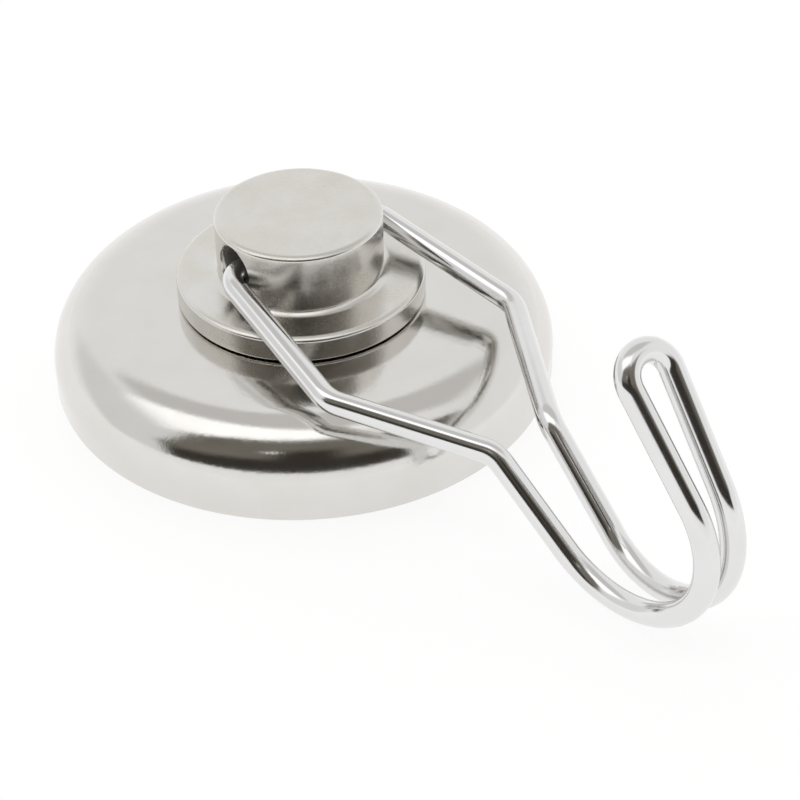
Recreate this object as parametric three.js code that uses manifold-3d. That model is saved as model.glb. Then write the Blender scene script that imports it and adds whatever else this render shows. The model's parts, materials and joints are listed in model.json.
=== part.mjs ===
// Pot magnet with a swivelling hub and a swinging wire hook.
// Millimetres, +Z up. The origin is the centre of the magnetic face, which lies in z = 0.
// The hub turns about Z. The hook swings about the hub's cross hole, which runs along Y, and points along +X.
import * as THREE from "three";
import { mergeVertices } from "three/addons/utils/BufferGeometryUtils.js";
import Module from "manifold-3d";

const wasm = await Module();
wasm.setup();

// ---- driving dimensions ----

// pot
const CUP_DIAMETER = 60;
const CUP_HEIGHT = 10.2;
const CUP_SHOULDER_RADIUS = 7.4;
const CUP_WALL = 4;
const CUP_WEB = 2.8;
const CUP_RIM_CHAMFER = 0.35;
const POCKET_WALL_GAP = 1;

// magnet and resin
const MAGNET_CHAMFER = 0.3;
const RESIN_WIDTH = 1.5;
const RESIN_SINK = 0.25;
const BOND_GAP = 0.05;

// hub
const FLANGE_DIAMETER = 29.4;
const FLANGE_THICKNESS = 3.1;
const FLANGE_TOP_CHAMFER = 0.45;
const FLANGE_BOTTOM_CHAMFER = 0.35;
const BOSS_DIAMETER = 19.6;
const BOSS_HEIGHT = 7.6;
const BOSS_EDGE_RADIUS = 0.8;
const BOSS_ROOT_RADIUS = 0.6;
const SPIGOT_DIAMETER = 10;
const SPIGOT_CLEARANCE = 0.15;
const CROSS_HOLE_DIAMETER = 5;
const CROSS_HOLE_TOP_WALL = 1.2;
const CROSS_HOLE_CHAMFER = 0.5;

// bearing washers and retainer
const WASHER_THICKNESS = 0.1;
const WASHER_OVERLAP = 6;
const RUNNING_GAP = 0.05;
const RETAINER_DIAMETER = 15.4;
const RETAINER_LAND = 0.2;
const RETAINER_EDGE_CHAMFER = 0.3;
const RETAINER_ROOM = 0.45;

// countersunk screw
const SCREW_DIAMETER = 5;
const SCREW_LENGTH = 8;
const SCREW_HEAD_DIAMETER = 9.2;
const SCREW_HEAD_RIM = 0.3;
const SCREW_KEY_WIDTH = 3;
const SCREW_KEY_DEPTH = 1.6;
const SCREW_TIP_CHAMFER = 0.6;
const SCREW_CLEARANCE = 0.1;
const SCREW_TIP_ROOM = 0.3;

// wire hook, as bent
const WIRE_DIAMETER = 2.8;
const WIRE_END_GAP = 6;
const GAP_UNDER_WIRE = 0.48;
const EYE_BEND_RADIUS = 3;
const EYE_CLEARANCE = 0.03;
const LEG_BEND_RADIUS = 4;
const LEG_RIM_CLEARANCE = 0.25;
const LEG_OUTER_LENGTH = 22.35;
const LEG_OUTER_SPREAD = 2.95;
const LEG_INNER_LENGTH = 16.4;
const NECK_HALF_WIDTH = 4;
const NECK_BEND = 27.2;
const NECK_LENGTH = 13.2;
const HOOK_BEND_RADIUS = 11.05;
const HOOK_BEND_ANGLE = 165.6;
const HOOK_START_HALF_WIDTH = 3.05;
const HOOK_MIDDLE_HALF_WIDTH = 1.88;
const HOOK_END_HALF_WIDTH = 2.1;
const SHANK_LENGTH = 12.8;
const TIP_LOOP_RADIUS = 2.78;
const HOOK_REST_CLEARANCE = 0.09;

// fineness of the round forms
const TURNED_SEGMENTS = 64;
const SCREW_SEGMENTS = 32;
const SHOULDER_STEPS = 8;
const EDGE_STEPS = 3;
const WIRE_SIDES = 10;
const WIRE_STEPS = 150;
const BEND_POINTS = 8;
const HOOK_POINTS = 30;

// ---- sizes that follow ----

const cupRadius = CUP_DIAMETER / 2;
const pocketRadius = cupRadius - CUP_WALL;
const magnetRadius = pocketRadius - RESIN_WIDTH;
const webBottom = CUP_HEIGHT - CUP_WEB;
const spigotRadius = SPIGOT_DIAMETER / 2;
const boreRadius = spigotRadius + SPIGOT_CLEARANCE;

const flangeRadius = FLANGE_DIAMETER / 2;
const flangeBottom = CUP_HEIGHT + WASHER_THICKNESS + 2 * RUNNING_GAP;
const flangeTop = flangeBottom + FLANGE_THICKNESS;
const bossRadius = BOSS_DIAMETER / 2;
const bossTop = flangeTop + BOSS_HEIGHT;
const holeRadius = CROSS_HOLE_DIAMETER / 2;
const holeHeight = bossTop - CROSS_HOLE_TOP_WALL - holeRadius;

const screwRadius = SCREW_DIAMETER / 2;
const screwHeadRadius = SCREW_HEAD_DIAMETER / 2;
const threadRadius = screwRadius + SCREW_CLEARANCE;
const countersinkRadius = screwHeadRadius + SCREW_CLEARANCE;
const countersinkRim = SCREW_HEAD_RIM + SCREW_CLEARANCE;
const countersinkDepth = countersinkRim + countersinkRadius - threadRadius;

const retainerRadius = RETAINER_DIAMETER / 2;
const retainerTop = webBottom - WASHER_THICKNESS - 2 * RUNNING_GAP;
const retainerBottom = retainerTop - RETAINER_LAND - countersinkDepth;
const pocketCeiling = retainerBottom - RETAINER_ROOM;
const magnetThickness = pocketCeiling - BOND_GAP;
const screwTip = retainerBottom + SCREW_LENGTH;
const threadEnd = screwTip + SCREW_TIP_ROOM;

const wireRadius = WIRE_DIAMETER / 2;
const wireDrop = holeRadius - wireRadius - GAP_UNDER_WIRE;
const wireHeight = holeHeight - wireDrop;

// ---- helpers ----

const degrees = THREE.MathUtils.degToRad;
const point = (r, z) => new THREE.Vector2(r, z);

// A round stretch of a turned outline, both ends included.
function arc(centreR, centreZ, radius, from, to, steps) {
  const points = [];
  for (let i = 0; i <= steps; i++) {
    const angle = degrees(from + ((to - from) * i) / steps);
    points.push(point(centreR + radius * Math.cos(angle), centreZ + radius * Math.sin(angle)));
  }
  return points;
}

// Turns an outline of (radius, height) points about Z.
function turned(outline, segments = TURNED_SEGMENTS) {
  const geometry = new THREE.LatheGeometry(outline, segments);
  geometry.rotateX(Math.PI / 2);
  return geometry;
}

// A flat ring as a closed outline.
function ring(inner, outer, bottom, top) {
  const outline = [point(inner, bottom), point(outer, bottom), point(outer, top), point(inner, top)];
  return turned([...outline, outline[0]]);
}

function toSolid(geometry) {
  const bare = geometry.clone();
  bare.deleteAttribute("normal");
  bare.deleteAttribute("uv");
  const welded = mergeVertices(bare, 1e-4);
  const vertProperties = new Float32Array(welded.attributes.position.array);
  const triVerts = new Uint32Array(welded.index.array);
  return new wasm.Manifold(new wasm.Mesh({ numProp: 3, vertProperties, triVerts }));
}

function toGeometry(solid) {
  const mesh = solid.getMesh();
  const geometry = new THREE.BufferGeometry();
  geometry.setAttribute("position", new THREE.BufferAttribute(mesh.vertProperties, 3));
  geometry.setIndex(new THREE.BufferAttribute(mesh.triVerts, 1));
  geometry.computeVertexNormals();
  return geometry;
}

// ---- pot, magnet and resin ----

function cupGeometry() {
  const shoulderR = cupRadius - CUP_SHOULDER_RADIUS;
  const shoulderZ = CUP_HEIGHT - CUP_SHOULDER_RADIUS;
  const counterbore = retainerRadius + POCKET_WALL_GAP;
  const outline = [
    point(boreRadius, webBottom),
    point(counterbore, webBottom),
    point(counterbore, pocketCeiling),
    point(pocketRadius, pocketCeiling),
    point(pocketRadius, CUP_RIM_CHAMFER),
    point(pocketRadius + CUP_RIM_CHAMFER, 0),
    point(cupRadius - CUP_RIM_CHAMFER, 0),
    point(cupRadius, CUP_RIM_CHAMFER),
    ...arc(shoulderR, shoulderZ, CUP_SHOULDER_RADIUS, 0, 90, SHOULDER_STEPS),
    point(boreRadius, CUP_HEIGHT),
  ];
  return turned([...outline, outline[0]]);
}

function magnetGeometry() {
  return turned([
    point(0, 0),
    point(magnetRadius - MAGNET_CHAMFER, 0),
    point(magnetRadius, MAGNET_CHAMFER),
    point(magnetRadius, magnetThickness - MAGNET_CHAMFER),
    point(magnetRadius - MAGNET_CHAMFER, magnetThickness),
    point(0, magnetThickness),
  ]);
}

function resinGeometry() {
  const bottom = Math.max(RESIN_SINK, CUP_RIM_CHAMFER, MAGNET_CHAMFER);
  return ring(magnetRadius + BOND_GAP, pocketRadius - BOND_GAP, bottom, pocketCeiling - BOND_GAP);
}

// ---- hub ----

function hubGeometry() {
  const rootR = bossRadius + BOSS_ROOT_RADIUS;
  const rootZ = flangeTop + BOSS_ROOT_RADIUS;
  const edgeR = bossRadius - BOSS_EDGE_RADIUS;
  const edgeZ = bossTop - BOSS_EDGE_RADIUS;
  const body = turned([
    point(0, threadEnd),
    point(threadRadius, threadEnd),
    point(threadRadius, retainerTop),
    point(spigotRadius, retainerTop),
    point(spigotRadius, flangeBottom),
    point(flangeRadius - FLANGE_BOTTOM_CHAMFER, flangeBottom),
    point(flangeRadius, flangeBottom + FLANGE_BOTTOM_CHAMFER),
    point(flangeRadius, flangeTop - FLANGE_TOP_CHAMFER),
    point(flangeRadius - FLANGE_TOP_CHAMFER, flangeTop),
    ...arc(rootR, rootZ, BOSS_ROOT_RADIUS, 270, 180, EDGE_STEPS),
    ...arc(edgeR, edgeZ, BOSS_EDGE_RADIUS, 0, 90, EDGE_STEPS),
    point(0, bossTop),
  ]);
  return toGeometry(toSolid(body).subtract(toSolid(crossHoleGeometry())));
}

// The cross hole along Y, with a chamfered mouth at each side of the boss.
function crossHoleGeometry() {
  const mouth = bossRadius - CROSS_HOLE_CHAMFER;
  const flare = holeRadius + 2 * CROSS_HOLE_CHAMFER;
  const outside = bossRadius + CROSS_HOLE_CHAMFER;
  const drill = new THREE.LatheGeometry(
    [
      point(0, -outside),
      point(flare, -outside),
      point(holeRadius, -mouth),
      point(holeRadius, mouth),
      point(flare, outside),
      point(0, outside),
    ],
    TURNED_SEGMENTS / 2,
  );
  return drill.translate(0, 0, holeHeight);
}

// ---- what holds the hub in the pot ----

function upperWasherGeometry() {
  const bottom = CUP_HEIGHT + RUNNING_GAP;
  return ring(boreRadius, boreRadius + WASHER_OVERLAP, bottom, bottom + WASHER_THICKNESS);
}

function lowerWasherGeometry() {
  const bottom = retainerTop + RUNNING_GAP;
  return ring(boreRadius, retainerRadius, bottom, bottom + WASHER_THICKNESS);
}

function retainerGeometry() {
  const outline = [
    point(countersinkRadius, retainerBottom),
    point(retainerRadius - RETAINER_EDGE_CHAMFER, retainerBottom),
    point(retainerRadius, retainerBottom + RETAINER_EDGE_CHAMFER),
    point(retainerRadius, retainerTop),
    point(threadRadius, retainerTop),
    point(threadRadius, retainerBottom + countersinkDepth),
    point(countersinkRadius, retainerBottom + countersinkRim),
  ];
  return turned([...outline, outline[0]]);
}

function screwGeometry() {
  const neck = retainerBottom + SCREW_HEAD_RIM + screwHeadRadius - screwRadius;
  const body = turned(
    [
      point(0, retainerBottom),
      point(screwHeadRadius, retainerBottom),
      point(screwHeadRadius, retainerBottom + SCREW_HEAD_RIM),
      point(screwRadius, neck),
      point(screwRadius, screwTip - SCREW_TIP_CHAMFER),
      point(screwRadius - SCREW_TIP_CHAMFER, screwTip),
      point(0, screwTip),
    ],
    SCREW_SEGMENTS,
  );
  const keyRadius = SCREW_KEY_WIDTH / 2 / Math.cos(Math.PI / 6);
  const socket = new THREE.CylinderGeometry(keyRadius, keyRadius, 2 * SCREW_KEY_DEPTH, 6);
  socket.rotateX(Math.PI / 2).translate(0, 0, retainerBottom);
  return toGeometry(toSolid(body).subtract(toSolid(socket)));
}

// ---- wire hook ----

const eyeHalfWidth = clearOfMouth();
const legSlope = Math.min(slopeToSurface(), slopeToRim());

// Half the width across the eyes, with each eye bend clear of the cross hole's unchamfered edge.
function clearOfMouth() {
  const edgeX = Math.sqrt(holeRadius ** 2 - wireDrop ** 2);
  const edgeY = Math.sqrt(bossRadius ** 2 - edgeX ** 2);
  const halfCorner = Math.PI / 4 + Math.atan2(LEG_OUTER_SPREAD, LEG_OUTER_LENGTH) / 2;
  const bendStart = EYE_BEND_RADIUS / Math.tan(halfCorner);
  const reach = EYE_BEND_RADIUS - wireRadius - EYE_CLEARANCE;
  return edgeY + bendStart - Math.sqrt(reach ** 2 - (EYE_BEND_RADIUS - edgeX) ** 2);
}

// The slope of the legs, in degrees, that brings the bottom of the hook to the surface under the magnet.
function slopeToSurface() {
  const turn = degrees(NECK_BEND);
  const legLength = LEG_OUTER_LENGTH + LEG_INNER_LENGTH;
  const along = legLength + NECK_LENGTH * Math.cos(turn) + HOOK_BEND_RADIUS * Math.sin(turn);
  const up = HOOK_BEND_RADIUS * Math.cos(turn) - NECK_LENGTH * Math.sin(turn);
  const drop = wireHeight - wireRadius - HOOK_BEND_RADIUS - HOOK_REST_CLEARANCE;
  return THREE.MathUtils.radToDeg(Math.asin(drop / Math.hypot(along, up)) + Math.atan2(up, along));
}

// The slope of the legs, in degrees, that brings them to the rim of the flange.
function slopeToRim() {
  const rimX = Math.sqrt(Math.max(0, flangeRadius ** 2 - eyeHalfWidth ** 2));
  const above = wireHeight - flangeTop;
  const lift = wireRadius + LEG_RIM_CLEARANCE;
  return THREE.MathUtils.radToDeg(Math.acos(lift / Math.hypot(rimX, above)) - Math.atan2(rimX, above));
}

// Points of a bend of the given radius in place of a corner.
function bend(before, corner, after, radius) {
  const inward = before.clone().sub(corner).normalize();
  const outward = after.clone().sub(corner).normalize();
  const half = inward.angleTo(outward) / 2;
  const middle = inward.clone().add(outward).normalize();
  const centre = corner.clone().addScaledVector(middle, radius / Math.sin(half));
  const start = corner.clone().addScaledVector(inward, radius / Math.tan(half)).sub(centre);
  const end = corner.clone().addScaledVector(outward, radius / Math.tan(half)).sub(centre);
  const sweep = start.angleTo(end);
  const points = [];
  for (let i = 0; i <= BEND_POINTS; i++) {
    const angle = (sweep * i) / BEND_POINTS;
    const across = Math.sin(sweep - angle) / Math.sin(sweep);
    const along = Math.sin(angle) / Math.sin(sweep);
    points.push(centre.clone().addScaledVector(start, across).addScaledVector(end, along));
  }
  return points;
}

// Half the width between the two strands, at a share of the way round the hook.
function hookHalfWidth(share) {
  const start = HOOK_START_HALF_WIDTH * (1 - share) * (1 - 2 * share);
  const middle = HOOK_MIDDLE_HALF_WIDTH * 4 * share * (1 - share);
  const end = HOOK_END_HALF_WIDTH * share * (2 * share - 1);
  return start + middle + end;
}

// Centre line of the -Y half of the hook, from its end in the cross hole to the middle of the tip loop.
function halfHookPoints() {
  const heading = (angle) => new THREE.Vector3(Math.cos(degrees(angle)), 0, Math.sin(degrees(angle)));
  const sideways = (v, halfWidth) => new THREE.Vector3(v.x, -halfWidth, v.z);
  const axis = new THREE.Vector3(0, 0, wireHeight);
  const down = heading(-legSlope);

  const end = sideways(axis, WIRE_END_GAP / 2);
  const eye = sideways(axis, eyeHalfWidth);
  const kneeTop = axis.clone().addScaledVector(down, LEG_OUTER_LENGTH);
  const knee = sideways(kneeTop, eyeHalfWidth + LEG_OUTER_SPREAD);
  const neckTop = axis.clone().addScaledVector(down, LEG_OUTER_LENGTH + LEG_INNER_LENGTH);
  const neck = sideways(neckTop, NECK_HALF_WIDTH);

  const neckAngle = -legSlope - NECK_BEND;
  const hookStart = neckTop.clone().addScaledVector(heading(neckAngle), NECK_LENGTH);
  const hookCentre = hookStart.clone().addScaledVector(heading(neckAngle + 90), HOOK_BEND_RADIUS);
  const hook = [];
  for (let i = 0; i <= HOOK_POINTS; i++) {
    const share = i / HOOK_POINTS;
    const outwards = heading(neckAngle - 90 + HOOK_BEND_ANGLE * share);
    const point = hookCentre.clone().addScaledVector(outwards, HOOK_BEND_RADIUS);
    hook.push(sideways(point, hookHalfWidth(share)));
  }

  const shank = heading(neckAngle + HOOK_BEND_ANGLE);
  const hookEnd = hook[HOOK_POINTS];
  const loopCentre = sideways(hookEnd.clone().addScaledVector(shank, SHANK_LENGTH), 0);
  const loop = [];
  for (let i = 0; i <= BEND_POINTS; i++) {
    const angle = (i * 90) / BEND_POINTS;
    const point = loopCentre.clone().addScaledVector(shank, TIP_LOOP_RADIUS * Math.sin(degrees(angle)));
    loop.push(sideways(point, TIP_LOOP_RADIUS * Math.cos(degrees(angle))));
  }

  return [
    end,
    ...bend(end, eye, knee, EYE_BEND_RADIUS),
    ...bend(eye, knee, neck, LEG_BEND_RADIUS),
    ...bend(knee, neck, hook[0], LEG_BEND_RADIUS),
    ...hook,
    ...loop,
  ];
}

// A path of straight stretches through the points, followed at an even pace.
function wirePath() {
  const half = halfHookPoints();
  const mirrored = half.slice(0, -1).reverse().map((p) => new THREE.Vector3(p.x, -p.y, p.z));
  const points = [...half, ...mirrored];
  const path = new THREE.CurvePath();
  for (let i = 1; i < points.length; i++) {
    path.add(new THREE.LineCurve3(points[i - 1], points[i]));
  }
  return path;
}

function wireGeometry() {
  const section = new THREE.Shape();
  for (let i = 0; i < WIRE_SIDES; i++) {
    const angle = ((i + 0.5) * 2 * Math.PI) / WIRE_SIDES;
    const x = wireRadius * Math.cos(angle);
    const y = wireRadius * Math.sin(angle);
    if (i === 0) section.moveTo(x, y);
    else section.lineTo(x, y);
  }
  section.closePath();
  return new THREE.ExtrudeGeometry(section, { steps: WIRE_STEPS, extrudePath: wirePath() });
}

// ---- assembly ----

const NICKEL = { color: 0xd9d6d0, roughness: 0.32, metalness: 1 };
const BRIGHT_WIRE = { color: 0xdedede, roughness: 0.12, metalness: 1 };
const MAGNET_PLATE = { color: 0xc9c8c4, roughness: 0.25, metalness: 1 };
const RESIN = { color: 0x26262a, roughness: 0.55, metalness: 0 };
const BRONZE = { color: 0x9a7440, roughness: 0.45, metalness: 1 };
const ZINC_STEEL = { color: 0xa9adb2, roughness: 0.4, metalness: 1 };

function piece(name, geometry, finish) {
  const mesh = new THREE.Mesh(geometry, new THREE.MeshStandardMaterial(finish));
  mesh.name = name;
  return mesh;
}

const pot = new THREE.Group();
pot.add(piece("steel_cup", cupGeometry(), NICKEL));
pot.add(piece("disc_magnet", magnetGeometry(), MAGNET_PLATE));
pot.add(piece("potting_ring", resinGeometry(), RESIN));
pot.add(piece("upper_bearing_washer", upperWasherGeometry(), BRONZE));
pot.add(piece("lower_bearing_washer", lowerWasherGeometry(), BRONZE));

const hub = new THREE.Group();
hub.add(piece("swivel_hub", hubGeometry(), NICKEL));
hub.add(piece("retainer_disc", retainerGeometry(), ZINC_STEEL));
hub.add(piece("retaining_screw", screwGeometry(), ZINC_STEEL));

const hook = new THREE.Group();
hook.add(piece("wire_hook", wireGeometry(), BRIGHT_WIRE));

const magnetWithHook = new THREE.Group();
magnetWithHook.add(pot, hub, hook);

export default magnetWithHook;
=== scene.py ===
"""Looks for the pot magnet with the swivelling hub and wire hook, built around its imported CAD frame."""

import json
import math

import bpy
from mathutils import Matrix, Quaternion, Vector


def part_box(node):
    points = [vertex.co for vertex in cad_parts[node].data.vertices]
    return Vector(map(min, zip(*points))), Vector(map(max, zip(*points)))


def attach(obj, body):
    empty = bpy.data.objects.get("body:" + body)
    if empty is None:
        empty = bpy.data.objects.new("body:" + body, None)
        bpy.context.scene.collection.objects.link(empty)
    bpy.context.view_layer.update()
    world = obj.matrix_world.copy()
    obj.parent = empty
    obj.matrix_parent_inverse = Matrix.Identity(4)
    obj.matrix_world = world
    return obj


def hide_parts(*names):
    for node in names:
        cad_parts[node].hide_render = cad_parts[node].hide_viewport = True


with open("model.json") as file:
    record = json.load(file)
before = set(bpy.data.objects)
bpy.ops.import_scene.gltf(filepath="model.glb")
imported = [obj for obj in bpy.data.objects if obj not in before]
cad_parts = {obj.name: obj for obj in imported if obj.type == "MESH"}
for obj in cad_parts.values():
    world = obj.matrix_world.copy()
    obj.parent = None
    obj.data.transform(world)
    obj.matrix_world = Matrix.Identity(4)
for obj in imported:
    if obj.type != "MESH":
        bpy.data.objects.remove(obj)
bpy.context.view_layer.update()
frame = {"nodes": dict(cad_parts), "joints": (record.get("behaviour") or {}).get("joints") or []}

MM = 0.001

# ---- sizes read from the frame ----

cup_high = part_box("steel_cup")[1]
hub_low, hub_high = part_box("swivel_hub")
magnet_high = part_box("disc_magnet")[1]
resin_low, resin_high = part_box("potting_ring")
upper_washer_low, upper_washer_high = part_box("upper_bearing_washer")
lower_washer_low, lower_washer_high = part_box("lower_bearing_washer")
retainer_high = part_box("retainer_disc")[1]
hook_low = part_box("wire_hook")[0]

CUP_RADIUS = cup_high.x
CUP_HEIGHT = cup_high.z
HUB_TOP = hub_high.z
FLANGE_RADIUS = hub_high.x
WIRE_RADIUS = -hook_low.x
SWING_HEIGHT = next(j["pos_m"][2] for j in frame["joints"] if j["name"] == "hook_swing")

# ---- sizes of the same forms as in the CAD model, in metres, with finer edges ----

RUNNING_GAP = 0.05 * MM

CUP_SHOULDER = 7.4 * MM
CUP_POCKET_RADIUS = 26 * MM
CUP_POCKET_CEILING = magnet_high.z + RUNNING_GAP
CUP_WEB = 2.8 * MM
CUP_COUNTERBORE = retainer_high.x + 1 * MM
CUP_BORE = 5.15 * MM
RIM_ROUND = 0.35 * MM

MAGNET_EDGE = 0.3 * MM
RESIN_GAP = 0.05 * MM
RESIN_SAG = 0.12 * MM
WASHER_EDGE = 0.08 * MM

FLANGE_BOTTOM = upper_washer_high.z + RUNNING_GAP
FLANGE_TOP = FLANGE_BOTTOM + 3.1 * MM
FLANGE_BOTTOM_EDGE = 0.3 * MM
BOSS_RADIUS = 9.8 * MM
SPIGOT_RADIUS = 5 * MM
THREAD_RADIUS = 2.6 * MM
THREAD_END = 12.8 * MM
CROSS_HOLE_RADIUS = 2.5 * MM
CROSS_HOLE_TOP_WALL = 1.2 * MM
CROSS_HOLE_HEIGHT = HUB_TOP - CROSS_HOLE_TOP_WALL - CROSS_HOLE_RADIUS
CROSS_HOLE_LIP = 1.1 * MM
CROSS_HOLE_OVERSHOOT = 0.1 * MM
CUTTER_OVERHANG = 1 * MM
BORE_STARTS_INSIDE = 0.5 * MM

# A turned edge, from its side to its top: (radius of the roll, normal's slope at its start and end).
ROLLED_EDGE = ((0.4 * MM, 0, 55), (1.3 * MM, 55, 80), (0.6 * MM, 80, 90))
# A turned inner corner, from the flat to the side that rises from it.
ROLLED_ROOT = ((0.4 * MM, 90, 80), (1.5 * MM, 80, 50), (0.15 * MM, 50, 0))

WIRE_END = 3 * MM
EYE_BEND = 3 * MM
EYE_CLEARANCE = 0.03 * MM
LEG_BEND = 4 * MM
LEG_OUTER = 22.35 * MM
LEG_SPREAD = 2.95 * MM
LEG_INNER = 16.4 * MM
NECK_HALF_WIDTH = 4 * MM
NECK_BEND = math.radians(27.2)
NECK_LENGTH = 13.2 * MM
HOOK_BEND = 11.05 * MM
HOOK_ANGLE = math.radians(165.6)
HOOK_HALF_WIDTHS = (3.05 * MM, 1.88 * MM, 2.1 * MM)
HOOK_REST = 0.09 * MM
SHANK = 12.8 * MM
TIP_LOOP = 2.78 * MM
WIRE_END_ROUND = 0.35 * MM
# The drawn wire is this much thinner, so that it stays inside the faceted CAD wire's box.
WIRE_THINNER = 0.045 * MM


def leg_half_width():
    """Half the width across the eyes, with each eye bend clear of the cross hole's edge."""
    drop = CROSS_HOLE_HEIGHT - SWING_HEIGHT
    edge_x = math.sqrt(CROSS_HOLE_RADIUS ** 2 - drop ** 2)
    edge_y = math.sqrt(BOSS_RADIUS ** 2 - edge_x ** 2)
    half_corner = math.pi / 4 + math.atan2(LEG_SPREAD, LEG_OUTER) / 2
    reach = EYE_BEND - WIRE_RADIUS - EYE_CLEARANCE
    return edge_y + EYE_BEND / math.tan(half_corner) - math.sqrt(reach ** 2 - (EYE_BEND - edge_x) ** 2)


def leg_droop():
    """The legs' slope that rests the bottom of the hook on the surface under the magnet."""
    along = LEG_OUTER + LEG_INNER + NECK_LENGTH * math.cos(NECK_BEND) + HOOK_BEND * math.sin(NECK_BEND)
    up = HOOK_BEND * math.cos(NECK_BEND) - NECK_LENGTH * math.sin(NECK_BEND)
    drop = SWING_HEIGHT - WIRE_RADIUS - HOOK_BEND - HOOK_REST
    return math.asin(drop / math.hypot(along, up)) + math.atan2(up, along)


def hook_half_width(share):
    """Half the width between the two strands, at a share of the way round the hook."""
    first, middle, last = HOOK_HALF_WIDTHS
    return (first * (1 - share) * (1 - 2 * share) + middle * 4 * share * (1 - share)
            + last * share * (2 * share - 1))


LEG_HALF_WIDTH = leg_half_width()
LEG_DROOP = leg_droop()

# ---- mesh helpers ----

TURNED_SEGMENTS = 192
DRILL_SEGMENTS = 96
WIRE_SIDES = 32
WIRE_STEP = 0.35 * MM
HOOK_STEPS = 96
TIP_LOOP_STEPS = 16
RESIN_STEPS = 8
SHARP_ANGLE = math.radians(38)


def arc(centre, radius, start, end, steps=16):
    """Points of an outline's round stretch, angles in degrees."""
    angles = [math.radians(start + (end - start) * i / steps) for i in range(steps + 1)]
    return [(centre[0] + radius * math.cos(a), centre[1] + radius * math.sin(a)) for a in angles]


def line(start, end, steps):
    """Points of a straight stretch without its two ends."""
    shares = [i / steps for i in range(1, steps)]
    return [tuple(a + (b - a) * s for a, b in zip(start, end)) for s in shares]


def rolled(start, spans, steps=10):
    """Points of a rolled stretch of an outline that begins at start and follows the given spans."""
    r, z = start
    points = [start]
    for radius, first, last in spans:
        for i in range(1, steps + 1):
            a = math.radians(first + (last - first) * (i - 1) / steps)
            b = math.radians(first + (last - first) * i / steps)
            r -= radius * abs(math.cos(b) - math.cos(a))
            z += radius * abs(math.sin(b) - math.sin(a))
            points.append((r, z))
    return points


def rolled_size(spans):
    """How far a rolled stretch reaches inwards and up."""
    end = rolled((0, 0), spans)[-1]
    return -end[0], end[1]


def new_object(name, vertices, faces):
    mesh = bpy.data.meshes.new(name)
    mesh.from_pydata(vertices, [], faces)
    mesh.validate()
    finish_mesh(mesh)
    piece = bpy.data.objects.new(name, mesh)
    bpy.context.scene.collection.objects.link(piece)
    return piece


def finish_mesh(mesh):
    mesh.polygons.foreach_set("use_smooth", [True] * len(mesh.polygons))
    mesh.set_sharp_from_angle(angle=SHARP_ANGLE)
    mesh.update()


def turned(name, outline, segments=TURNED_SEGMENTS):
    """A solid of revolution about Z from (radius, height) points, closed on the axis or on itself."""
    closed = outline[0][0] > 0
    rings = []
    vertices = []
    for radius, height in outline:
        if radius == 0:
            rings.append([len(vertices)] * segments)
            vertices.append((0, 0, height))
            continue
        rings.append(list(range(len(vertices), len(vertices) + segments)))
        for i in range(segments):
            angle = 2 * math.pi * i / segments
            vertices.append((radius * math.cos(angle), radius * math.sin(angle), height))
    faces = []
    pairs = list(zip(rings, rings[1:]))
    if closed:
        pairs.append((rings[-1], rings[0]))
    for low, high in pairs:
        for i in range(segments):
            j = (i + 1) % segments
            corners = [low[i], low[j], high[j], high[i]]
            faces.append(list(dict.fromkeys(corners)))
    return new_object(name, vertices, faces)


def cut(piece, cutter):
    """Takes the cutter's shape out of the piece and removes the cutter."""
    modifier = piece.modifiers.new("cut", "BOOLEAN")
    modifier.operation = "DIFFERENCE"
    modifier.solver = "EXACT"
    modifier.object = cutter
    depsgraph = bpy.context.evaluated_depsgraph_get()
    mesh = bpy.data.meshes.new_from_object(piece.evaluated_get(depsgraph))
    piece.modifiers.clear()
    piece.data = mesh
    bpy.data.objects.remove(cutter)
    finish_mesh(mesh)


def sweep(name, points, radius, end_round):
    """A round bar of the given radius along the points, with rounded ends."""
    tangents = []
    for i in range(len(points)):
        before = points[max(i - 1, 0)]
        after = points[min(i + 1, len(points) - 1)]
        tangents.append((after - before).normalized())
    normal = tangents[0].orthogonal().normalized()
    normals = [normal]
    for a, b in zip(tangents, tangents[1:]):
        normal = a.rotation_difference(b) @ normal
        normals.append(normal.normalized())

    rounding = []
    for a in (math.pi / 2, math.pi / 3, math.pi / 6, 0):
        rounding.append((end_round * (1 - math.sin(a)), radius - end_round * (1 - math.cos(a))))
    start = [(points[0] + tangents[0] * shift, normals[0], tangents[0], r) for shift, r in rounding]
    middle = [(p, n, t, radius) for p, n, t in zip(points[2:-2], normals[2:-2], tangents[2:-2])]
    end = [(points[-1] - tangents[-1] * shift, normals[-1], tangents[-1], r)
           for shift, r in reversed(rounding)]

    vertices = []
    rings = []
    for centre, n, t, r in start + middle + end:
        side = t.cross(n)
        rings.append(range(len(vertices), len(vertices) + WIRE_SIDES))
        for i in range(WIRE_SIDES):
            angle = 2 * math.pi * i / WIRE_SIDES
            vertices.append(centre + (n * math.cos(angle) + side * math.sin(angle)) * r)
    faces = []
    for a, b in zip(rings, rings[1:]):
        for i in range(WIRE_SIDES):
            j = (i + 1) % WIRE_SIDES
            faces.append([a[i], a[j], b[j], b[i]])
    faces.append(list(reversed(rings[0])))
    faces.append(list(rings[-1]))
    return new_object(name, vertices, faces)


# ---- the pieces ----

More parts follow.
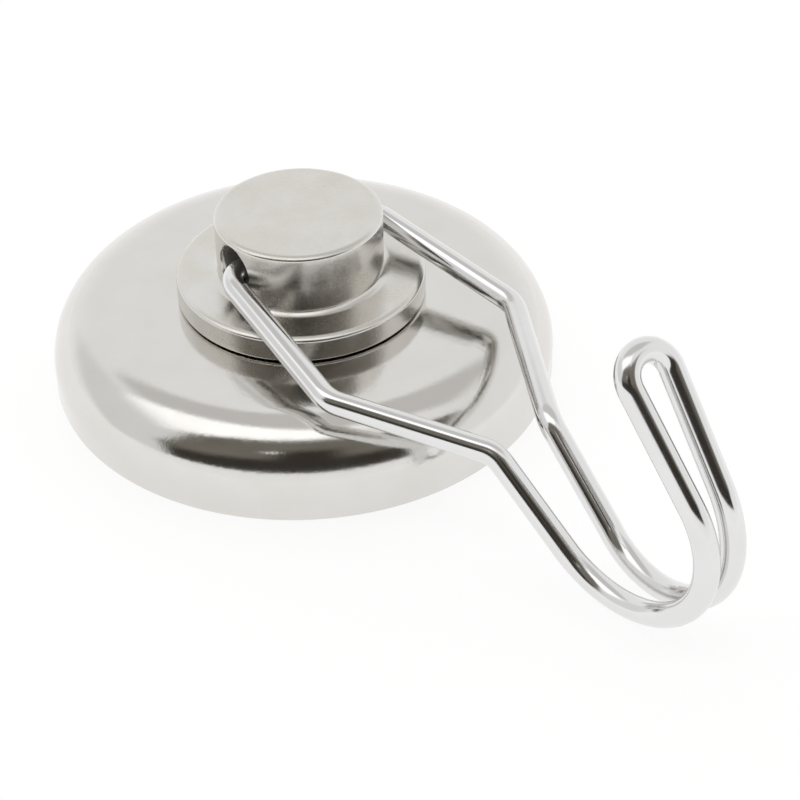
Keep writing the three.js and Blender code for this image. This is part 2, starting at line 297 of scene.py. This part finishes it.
def make_cup():
    centre = (CUP_RADIUS - CUP_SHOULDER, CUP_HEIGHT - CUP_SHOULDER)
    pocket = CUP_POCKET_RADIUS
    rim_in = pocket + RIM_ROUND
    rim_out = CUP_RADIUS - RIM_ROUND
    web_bottom = CUP_HEIGHT - CUP_WEB
    top_inner = (CUP_BORE, CUP_HEIGHT)
    return turned("nickel_cup", [
        (CUP_BORE, web_bottom),
        (CUP_COUNTERBORE, web_bottom),
        (CUP_COUNTERBORE, CUP_POCKET_CEILING),
        (pocket, CUP_POCKET_CEILING),
        *arc((rim_in, RIM_ROUND), RIM_ROUND, 180, 270, 6),
        *line((rim_in, 0), (rim_out, 0), 4),
        *arc((rim_out, RIM_ROUND), RIM_ROUND, 270, 360, 6),
        *arc(centre, CUP_SHOULDER, 0, 90, 40),
        *line((centre[0], CUP_HEIGHT), top_inner, 10),
        top_inner,
    ])


def make_hub():
    edge_in, edge_up = rolled_size(ROLLED_EDGE)
    root_in, root_up = rolled_size(ROLLED_ROOT)
    low_edge = (FLANGE_RADIUS - FLANGE_BOTTOM_EDGE, FLANGE_BOTTOM + FLANGE_BOTTOM_EDGE)
    flange_edge = rolled((FLANGE_RADIUS, FLANGE_TOP - edge_up), ROLLED_EDGE)
    root = rolled((BOSS_RADIUS + root_in, FLANGE_TOP), ROLLED_ROOT)
    boss_edge = rolled((BOSS_RADIUS, HUB_TOP - edge_up), ROLLED_EDGE)
    hub = turned("nickel_hub", [
        (0, THREAD_END),
        (THREAD_RADIUS, THREAD_END),
        (THREAD_RADIUS, hub_low.z),
        (SPIGOT_RADIUS, hub_low.z),
        (SPIGOT_RADIUS, FLANGE_BOTTOM),
        *line((SPIGOT_RADIUS, FLANGE_BOTTOM), (low_edge[0], FLANGE_BOTTOM), 6),
        *arc(low_edge, FLANGE_BOTTOM_EDGE, 270, 360, 8),
        *line((FLANGE_RADIUS, low_edge[1]), flange_edge[0], 4),
        *flange_edge,
        *line(flange_edge[-1], root[0], 6),
        *root,
        *line(root[-1], boss_edge[0], 12),
        *boss_edge,
        *line(boss_edge[-1], (0, HUB_TOP), 12),
        (0, HUB_TOP),
    ])
    cut(hub, make_cross_hole())
    return hub


def make_cross_hole():
    """The cutter for the cross hole: a bore whose mouths flare out in a rounded lip."""
    start = BOSS_RADIUS + CROSS_HOLE_OVERSHOOT - CROSS_HOLE_LIP
    flare = CROSS_HOLE_RADIUS + CROSS_HOLE_LIP
    mouth = arc((flare, start), CROSS_HOLE_LIP, 180, 90, 12)
    outside = start + CROSS_HOLE_LIP + CUTTER_OVERHANG
    drill = turned("drill", [
        (0, -outside),
        (flare, -outside),
        *((r, -z) for r, z in reversed(mouth)),
        *line((CROSS_HOLE_RADIUS, -start), (CROSS_HOLE_RADIUS, start), 8),
        *mouth,
        (flare, outside),
        (0, outside),
    ], DRILL_SEGMENTS)
    turn = Matrix.Rotation(math.radians(-90), 4, "X")
    drill.data.transform(Matrix.Translation((0, 0, CROSS_HOLE_HEIGHT)) @ turn)
    return drill


def mark_bore(hub):
    """Gives the walls of the cross hole the second material slot."""
    for face in hub.data.polygons:
        x, y, z = face.center
        in_hole = math.hypot(x, z - CROSS_HOLE_HEIGHT) < CROSS_HOLE_RADIUS + CROSS_HOLE_LIP
        if in_hole and math.hypot(x, y) < BOSS_RADIUS - BORE_STARTS_INSIDE:
            face.material_index = 1


def make_magnet():
    radius = magnet_high.x
    height = magnet_high.z
    edge = MAGNET_EDGE
    return turned("nickel_magnet", [
        (0, 0),
        *line((0, 0), (radius - edge, 0), 12),
        *arc((radius - edge, edge), edge, 270, 360, 6),
        *arc((radius - edge, height - edge), edge, 0, 90, 6),
        (0, height),
    ])


def make_resin():
    inner = magnet_high.x + RESIN_GAP
    outer = resin_high.x
    low = resin_low.z
    surface = []
    for i in range(RESIN_STEPS + 1):
        share = i / RESIN_STEPS
        surface.append((inner + (outer - inner) * share, low + RESIN_SAG * math.sin(math.pi * share)))
    return turned("resin_fill", [*surface, (outer, resin_high.z), (inner, resin_high.z)])


def make_washer(name, low, high, inner):
    edge = WASHER_EDGE
    outer = high.x
    return turned(name, [
        (inner, low.z),
        *arc((outer - edge, low.z + edge), edge, 270, 360, 3),
        *arc((outer - edge, high.z - edge), edge, 0, 90, 3),
        (inner, high.z),
    ])


def bend(before, corner, after, radius, steps=14):
    """Points of a bend of the given radius in place of a corner."""
    inward = (before - corner).normalized()
    outward = (after - corner).normalized()
    half = inward.angle(outward) / 2
    centre = corner + (inward + outward).normalized() * (radius / math.sin(half))
    start = corner + inward * (radius / math.tan(half)) - centre
    end = corner + outward * (radius / math.tan(half)) - centre
    sweep_angle = start.angle(end)
    points = []
    for i in range(steps + 1):
        angle = sweep_angle * i / steps
        across = math.sin(sweep_angle - angle) / math.sin(sweep_angle)
        along = math.sin(angle) / math.sin(sweep_angle)
        points.append(centre + start * across + end * along)
    return points


def half_hook():
    """Centre line of the -Y half of the hook, from its end in the hub to the middle of the tip loop."""

    def heading(angle):
        return Vector((math.cos(angle), 0, math.sin(angle)))

    def sideways(point, half_width):
        return Vector((point.x, -half_width, point.z))

    axis = Vector((0, 0, SWING_HEIGHT))
    droop = heading(-LEG_DROOP)
    end = sideways(axis, WIRE_END)
    eye = sideways(axis, LEG_HALF_WIDTH)
    knee = sideways(axis + droop * LEG_OUTER, LEG_HALF_WIDTH + LEG_SPREAD)
    neck_middle = axis + droop * (LEG_OUTER + LEG_INNER)
    neck = sideways(neck_middle, NECK_HALF_WIDTH)

    neck_angle = -LEG_DROOP - NECK_BEND
    hook_start = neck_middle + heading(neck_angle) * NECK_LENGTH
    hook_centre = hook_start + heading(neck_angle + math.pi / 2) * HOOK_BEND
    hook = []
    for i in range(HOOK_STEPS + 1):
        share = i / HOOK_STEPS
        angle = neck_angle - math.pi / 2 + HOOK_ANGLE * share
        hook.append(sideways(hook_centre + heading(angle) * HOOK_BEND, hook_half_width(share)))

    shank = heading(neck_angle + HOOK_ANGLE)
    loop_centre = hook[-1] + shank * SHANK
    loop = []
    for i in range(TIP_LOOP_STEPS + 1):
        angle = math.pi / 2 * i / TIP_LOOP_STEPS
        loop.append(sideways(loop_centre + shank * TIP_LOOP * math.sin(angle), TIP_LOOP * math.cos(angle)))
    return [
        end,
        *bend(end, eye, knee, EYE_BEND),
        *bend(eye, knee, neck, LEG_BEND),
        *bend(knee, neck, hook[0], LEG_BEND),
        *hook,
        *loop,
    ]


def evenly_spaced(points, step):
    """The same path with points at an even pace."""
    lengths = [0.0]
    for a, b in zip(points, points[1:]):
        lengths.append(lengths[-1] + (b - a).length)
    count = round(lengths[-1] / step)
    spaced = []
    segment = 0
    for i in range(count + 1):
        at = lengths[-1] * i / count
        while segment < len(points) - 2 and lengths[segment + 1] < at:
            segment += 1
        share = (at - lengths[segment]) / (lengths[segment + 1] - lengths[segment])
        spaced.append(points[segment].lerp(points[segment + 1], share))
    return spaced


def make_wire():
    half = half_hook()
    mirrored = [Vector((p.x, -p.y, p.z)) for p in reversed(half[:-1])]
    points = evenly_spaced(half + mirrored, WIRE_STEP)
    return sweep("bright_wire_hook", points, WIRE_RADIUS - WIRE_THINNER, WIRE_END_ROUND)


# ---- materials ----

class Nodes:
    """Short forms for building a node tree."""

    def __init__(self, tree):
        self.tree = tree
        tree.nodes.clear()

    def add(self, kind, inputs=None, **settings):
        node = self.tree.nodes.new(kind)
        for key, value in settings.items():
            setattr(node, key, value)
        for key, value in (inputs or {}).items():
            if isinstance(value, bpy.types.NodeSocket):
                self.tree.links.new(value, node.inputs[key])
            else:
                node.inputs[key].default_value = value
        return node

    def math(self, operation, a, b):
        return self.add("ShaderNodeMath", {0: a, 1: b}, operation=operation).outputs[0]

    def times(self, first, *others):
        for other in others:
            first = self.math("MULTIPLY", first, other)
        return first

    def noise(self, vector, scale, detail=2.0, roughness=0.5):
        inputs = {"Vector": vector, "Scale": scale, "Detail": detail, "Roughness": roughness}
        return self.add("ShaderNodeTexNoise", inputs).outputs["Fac"]

    def remap(self, value, low, high, to_low, to_high):
        inputs = {"Value": value, "From Min": low, "From Max": high, "To Min": to_low, "To Max": to_high}
        return self.add("ShaderNodeMapRange", inputs).outputs["Result"]

    def ease(self, value, start, end):
        """Runs smoothly from 0 at start to 1 at end; start may be the greater."""
        low, high = min(start, end), max(start, end)
        to_low, to_high = (0.0, 1.0) if start < end else (1.0, 0.0)
        inputs = {"Value": value, "From Min": low, "From Max": high, "To Min": to_low, "To Max": to_high}
        node = self.add("ShaderNodeMapRange", inputs, interpolation_type="SMOOTHSTEP")
        return node.outputs["Result"]

    def between(self, value, rise, fall):
        """Runs smoothly from 0 to 1 over the span rise, and back to 0 over the span fall."""
        return self.times(self.ease(value, *rise), self.ease(value, *fall))

    def mix(self, factor, a, b):
        node = self.add("ShaderNodeMix", {"Factor": factor}, data_type="RGBA")
        for index, value in ((6, a), (7, b)):
            if isinstance(value, bpy.types.NodeSocket):
                self.tree.links.new(value, node.inputs[index])
            else:
                node.inputs[index].default_value = (*value, 1)
        return node.outputs[2]


# Scales of the procedural patterns, in features per metre.
PATCHES = 160.0
SPECKLE = 2600.0
PEEL = 1400.0
WIRE_PEEL = 600.0
RESIN_CLOUD = 300.0
RESIN_PORES = 1500.0
FLOOR_CLOUD = 6.0

RESIN_DARK = (0.022, 0.022, 0.024)
RESIN_PALE = (0.05, 0.05, 0.053)
RESIN_PORE_DEPTH = 0.02 * MM


def plated(name, colour, tint, roughness, swing, peel, grain, peel_scale=PEEL):
    """Plated metal: mottled colour, roughness in patches, and the fine ripple of a plated surface.

    The roughness lies within the swing of its middle value; peel and grain are the depths of the two bumps.
    """
    material = bpy.data.materials.new(name)
    material.use_nodes = True
    nodes = Nodes(material.node_tree)
    place = nodes.add("ShaderNodeTexCoord").outputs["Object"]
    patches = nodes.noise(place, PATCHES, 4.0, 0.6)
    speckle = nodes.noise(place, SPECKLE, 3.0, 0.6)
    ripple = nodes.noise(place, peel_scale, 2.0, 0.5)

    stain = nodes.remap(patches, 0.35, 0.7, 0.0, 1.0)
    base = nodes.mix(stain, colour, tint)
    blotches = nodes.math("ADD", patches, nodes.math("MULTIPLY", speckle, 0.5))
    rough = nodes.remap(blotches, 0.55, 1.0, roughness - swing, roughness + swing)
    bump = nodes.add("ShaderNodeBump", {"Strength": 1.0, "Distance": peel, "Height": ripple})
    fine = nodes.add("ShaderNodeBump", {
        "Strength": 1.0, "Distance": grain, "Height": speckle, "Normal": bump.outputs[0],
    })
    shader = nodes.add("ShaderNodeBsdfPrincipled", {
        "Base Color": base, "Metallic": 1.0, "Roughness": rough, "Normal": fine.outputs[0],
    })
    nodes.add("ShaderNodeOutputMaterial", {"Surface": shader.outputs[0]})
    return material


def resin():
    """Dark cast resin with faint clouds and pores."""
    material = bpy.data.materials.new("cast_resin")
    material.use_nodes = True
    nodes = Nodes(material.node_tree)
    place = nodes.add("ShaderNodeTexCoord").outputs["Object"]
    cloud = nodes.noise(place, RESIN_CLOUD, 3.0)
    pores = nodes.noise(place, RESIN_PORES, 2.0)
    base = nodes.mix(cloud, RESIN_DARK, RESIN_PALE)
    bump = nodes.add("ShaderNodeBump", {"Strength": 1.0, "Distance": RESIN_PORE_DEPTH, "Height": pores})
    shader = nodes.add("ShaderNodeBsdfPrincipled", {
        "Base Color": base, "Roughness": nodes.remap(cloud, 0.3, 0.7, 0.35, 0.55),
        "Normal": bump.outputs[0],
    })
    nodes.add("ShaderNodeOutputMaterial", {"Surface": shader.outputs[0]})
    return material


# ---- studio ----

CAMERA_AZIMUTH = math.radians(-36.32)
CAMERA_ELEVATION = math.radians(37.26)
CAMERA_DISTANCE = 244.26 * MM
CAMERA_AIM = Vector((9.94, 6.62, -4.28)) * MM
CAMERA_ROLL = math.radians(-0.81)
FOCAL_LENGTH = 90
NEAREST_SEEN = 10 * MM

WALL_LIGHT = (1.0, 1.0, 1.0)
LEFT_LIGHT = (0.8, 0.8, 0.8)
UPPER_LIGHT = (0.94, 0.94, 0.94)
PANEL_LIGHT = (1.42, 1.42, 1.42)
SEAM_LIGHT = (0.65, 0.64, 0.63)
GAP_LIGHT = (0.11, 0.1, 0.08)
GAP_LIGHTER = (0.25, 0.235, 0.205)
GAP_LOW_LIGHT = (0.04, 0.035, 0.03)

# The tent is laid out by direction in the room, fixed for every view. OVER is how far over the object a
# direction points, in degrees: 0 level towards the photograph's camera, 90 straight up, 180 level away.
# RIGHT is the share of the direction that points to that camera's right. A pair is where a smooth change
# starts and ends.
TENT_CLOUD = 3.0
UPPER_STARTS_OVER = (10, 16)
UPPER_ENDS_OVER = (150, 175)
LEFT_STARTS_RIGHT = (-0.6, -0.78)

PANEL_STARTS_OVER = (71, 77)
PANEL_SIDES_RIGHT = ((-0.85, -0.55), (0.3, 0.1))
# The far edge of the panel, as (RIGHT, OVER) of its two ends.
PANEL_EDGE = ((-0.7, 111), (0.0, 91))
PANEL_EDGE_SOFTNESS = 4
SEAM_ENDS_OVER = (129, 121)
SEAM_SIDES_RIGHT = ((-0.7, -0.5), (0.75, 0.55))

GAP_STARTS_OVER = (13, 17)
GAP_ENDS_OVER = (74, 68)
GAP_RAGGEDNESS = 4
# The gap's two sides, as (OVER, RIGHT) of their lower and upper ends.
GAP_LEFT = ((48, -0.87), (72, -0.62))
GAP_LEFT_SOFTNESS = 0.04
GAP_RIGHT = ((30, 0.71), (45, 0.8))
GAP_RIGHT_SOFTNESS = 0.07
GAP_LIGHTENS_OVER = (33, 45)
CAMERA_TOP_OVER = (58, 48)
CAMERA_SIDES_RIGHT = ((-0.3, -0.15), (0.25, 0.1))
LAMP_OVER = ((48, 49.5), (53, 51.5))
LAMP_RIGHT = ((-0.3, -0.26), (-0.17, -0.21))

FLOOR_HALF_SIZE = 3.0
FLOOR_DROP = 0.02 * MM
FLOOR_DARK = (0.2, 0.2, 0.2)
FLOOR_PALE = (0.24, 0.24, 0.24)
FLOOR_GLOW = 0.84


def towards(azimuth, elevation):
    """Unit vector from the origin towards a direction given in radians."""
    flat = math.cos(elevation)
    return Vector((flat * math.cos(azimuth), flat * math.sin(azimuth), math.sin(elevation)))


def make_camera():
    camera = bpy.data.objects.new("camera", bpy.data.cameras.new("camera"))
    camera.data.lens = FOCAL_LENGTH
    camera.data.clip_start = NEAREST_SEEN
    camera.location = towards(CAMERA_AZIMUTH, CAMERA_ELEVATION) * CAMERA_DISTANCE
    look = (CAMERA_AIM - camera.location).to_track_quat("-Z", "Y")
    camera.rotation_mode = "QUATERNION"
    camera.rotation_quaternion = look @ Quaternion((0, 0, 1), CAMERA_ROLL)
    bpy.context.scene.collection.objects.link(camera)
    bpy.context.scene.camera = camera


def make_world():
    """A white light tent: pale walls, a bright panel overhead, a seam, and a dark gap on one side."""
    world = bpy.data.worlds.new("tent")
    world.use_nodes = True
    bpy.context.scene.world = world
    nodes = Nodes(world.node_tree)
    ray = nodes.add("ShaderNodeTexCoord").outputs["Generated"]
    forwards = towards(CAMERA_AZIMUTH, 0)
    rightwards = Vector((-forwards.y, forwards.x, 0))

    def along(direction):
        node = nodes.add("ShaderNodeVectorMath", {0: ray, 1: direction}, operation="DOT_PRODUCT")
        return node.outputs["Value"]

    def past(value, slant, other, start, end):
        """Eases from start to end around the slanted edge that value has at the other coordinate."""
        (low, at_low), (high, at_high) = slant
        edge = nodes.remap(other, low, high, at_low, at_high)
        return nodes.ease(nodes.math("SUBTRACT", value, edge), start, end)

    over = nodes.math("ARCTAN2", along(Vector((0, 0, 1))), along(forwards))
    over = nodes.math("MULTIPLY", over, math.degrees(1))
    right = along(rightwards)
    cloud = nodes.noise(ray, TENT_CLOUD, 3.0, 0.6)

    walls = nodes.mix(nodes.ease(right, *LEFT_STARTS_RIGHT), UPPER_LIGHT, LEFT_LIGHT)
    not_far_low = nodes.math("SUBTRACT", 1.0, nodes.ease(over, *UPPER_ENDS_OVER))
    walls = nodes.mix(nodes.times(nodes.ease(over, *UPPER_STARTS_OVER), not_far_low), WALL_LIGHT, walls)

    past_panel = past(over, PANEL_EDGE, right, -PANEL_EDGE_SOFTNESS, PANEL_EDGE_SOFTNESS)
    before_panel_end = nodes.math("SUBTRACT", 1.0, past_panel)
    panel_sides = nodes.between(right, *PANEL_SIDES_RIGHT)
    panel = nodes.times(nodes.ease(over, *PANEL_STARTS_OVER), before_panel_end, panel_sides)
    tent = nodes.mix(panel, walls, PANEL_LIGHT)

    seam_sides = nodes.between(right, *SEAM_SIDES_RIGHT)
    seam = nodes.times(past_panel, nodes.ease(over, *SEAM_ENDS_OVER), seam_sides)
    tent = nodes.mix(seam, tent, SEAM_LIGHT)

    inside_left = past(right, GAP_LEFT, over, -GAP_LEFT_SOFTNESS, GAP_LEFT_SOFTNESS)
    inside_right = past(right, GAP_RIGHT, over, GAP_RIGHT_SOFTNESS, -GAP_RIGHT_SOFTNESS)
    ragged = nodes.remap(cloud, 0.3, 0.7, -GAP_RAGGEDNESS, GAP_RAGGEDNESS)
    gap_top = nodes.ease(nodes.math("ADD", over, ragged), *GAP_ENDS_OVER)
    gap = nodes.times(nodes.ease(over, *GAP_STARTS_OVER), gap_top, inside_left, inside_right)

    upper_room = nodes.mix(cloud, GAP_LIGHT, GAP_LIGHTER)
    room = nodes.mix(nodes.ease(over, *GAP_LIGHTENS_OVER), GAP_LOW_LIGHT, upper_room)
    camera_sides = nodes.between(right, *CAMERA_SIDES_RIGHT)
    camera_shade = nodes.times(nodes.ease(over, *CAMERA_TOP_OVER), camera_sides)
    room = nodes.mix(camera_shade, room, GAP_LOW_LIGHT)
    lamp = nodes.times(nodes.between(over, *LAMP_OVER), nodes.between(right, *LAMP_RIGHT))
    room = nodes.mix(lamp, room, WALL_LIGHT)

    colour = nodes.mix(gap, tent, room)
    background = nodes.add("ShaderNodeBackground", {"Color": colour, "Strength": 1.0})
    nodes.add("ShaderNodeOutputWorld", {"Surface": background.outputs[0]})


def make_floor():
    """A pale floor that glows enough to stay white round the object."""
    size = FLOOR_HALF_SIZE
    corners = [(-size, -size, 0), (size, -size, 0), (size, size, 0), (-size, size, 0)]
    floor = new_object("floor", corners, [(0, 1, 2, 3)])
    floor.location.z = -FLOOR_DROP
    material = bpy.data.materials.new("white_floor")
    material.use_nodes = True
    nodes = Nodes(material.node_tree)
    place = nodes.add("ShaderNodeTexCoord").outputs["Object"]
    base = nodes.mix(nodes.noise(place, FLOOR_CLOUD, 2.0), FLOOR_DARK, FLOOR_PALE)
    shader = nodes.add("ShaderNodeBsdfPrincipled", {
        "Base Color": base, "Roughness": 0.9,
        "Emission Color": (1, 1, 1, 1), "Emission Strength": FLOOR_GLOW,
    })
    nodes.add("ShaderNodeOutputMaterial", {"Surface": shader.outputs[0]})
    floor.data.materials.append(material)


# ---- assembly ----

def place(piece, body, material, slot, *nodes):
    piece.data.materials.clear()
    piece.data.materials.append(material)
    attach(piece, body)
    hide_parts(*nodes)


def repaint(node, material):
    for slot in frame["nodes"][node].material_slots:
        slot.material = material


cup_nickel = plated("cup_nickel", colour=(0.735, 0.72, 0.695), tint=(0.715, 0.695, 0.66),
                    roughness=0.13, swing=0.04, peel=0.0045 * MM, grain=0.006 * MM)
hub_nickel = plated("hub_nickel", colour=(0.73, 0.715, 0.69), tint=(0.68, 0.655, 0.60),
                    roughness=0.25, swing=0.06, peel=0.004 * MM, grain=0.0015 * MM)
bore_nickel = plated("bore_nickel", colour=(0.72, 0.70, 0.67), tint=(0.62, 0.58, 0.52),
                     roughness=0.55, swing=0.08, peel=0.01 * MM, grain=0.006 * MM)
wire_nickel = plated("wire_nickel", colour=(0.785, 0.785, 0.785), tint=(0.76, 0.755, 0.745),
                     roughness=0.13, swing=0.04, peel=0.0008 * MM, grain=0.0002 * MM, peel_scale=WIRE_PEEL)
magnet_nickel = plated("magnet_nickel", colour=(0.68, 0.67, 0.65), tint=(0.64, 0.62, 0.59),
                       roughness=0.16, swing=0.06, peel=0.003 * MM, grain=0.001 * MM)
zinc = plated("zinc_steel", colour=(0.55, 0.57, 0.60), tint=(0.5, 0.51, 0.5),
              roughness=0.35, swing=0.08, peel=0.002 * MM, grain=0.0005 * MM)
bronze = plated("bearing_bronze", colour=(0.50, 0.34, 0.16), tint=(0.40, 0.25, 0.11),
                roughness=0.42, swing=0.08, peel=0.002 * MM, grain=0.0005 * MM)

place(make_cup(), "pot", cup_nickel, "satin_nickel", "steel_cup")
place(make_magnet(), "pot", magnet_nickel, "magnet_nickel", "disc_magnet")
place(make_resin(), "pot", resin(), "resin", "potting_ring")
place(make_washer("washer_under_flange", upper_washer_low, upper_washer_high, CUP_BORE),
      "pot", bronze, "bearing_bronze", "upper_bearing_washer")
place(make_washer("washer_under_web", lower_washer_low, lower_washer_high, CUP_BORE),
      "pot", bronze, "bearing_bronze", "lower_bearing_washer")
hub = make_hub()
place(hub, "hub", hub_nickel, "hub_nickel", "swivel_hub")
hub.data.materials.append(bore_nickel)
mark_bore(hub)
place(make_wire(), "hook", wire_nickel, "bright_wire", "wire_hook")
repaint("retainer_disc", zinc)
repaint("retaining_screw", zinc)

bpy.context.scene.view_settings.view_transform = "Standard"
make_world()
make_floor()
make_camera()
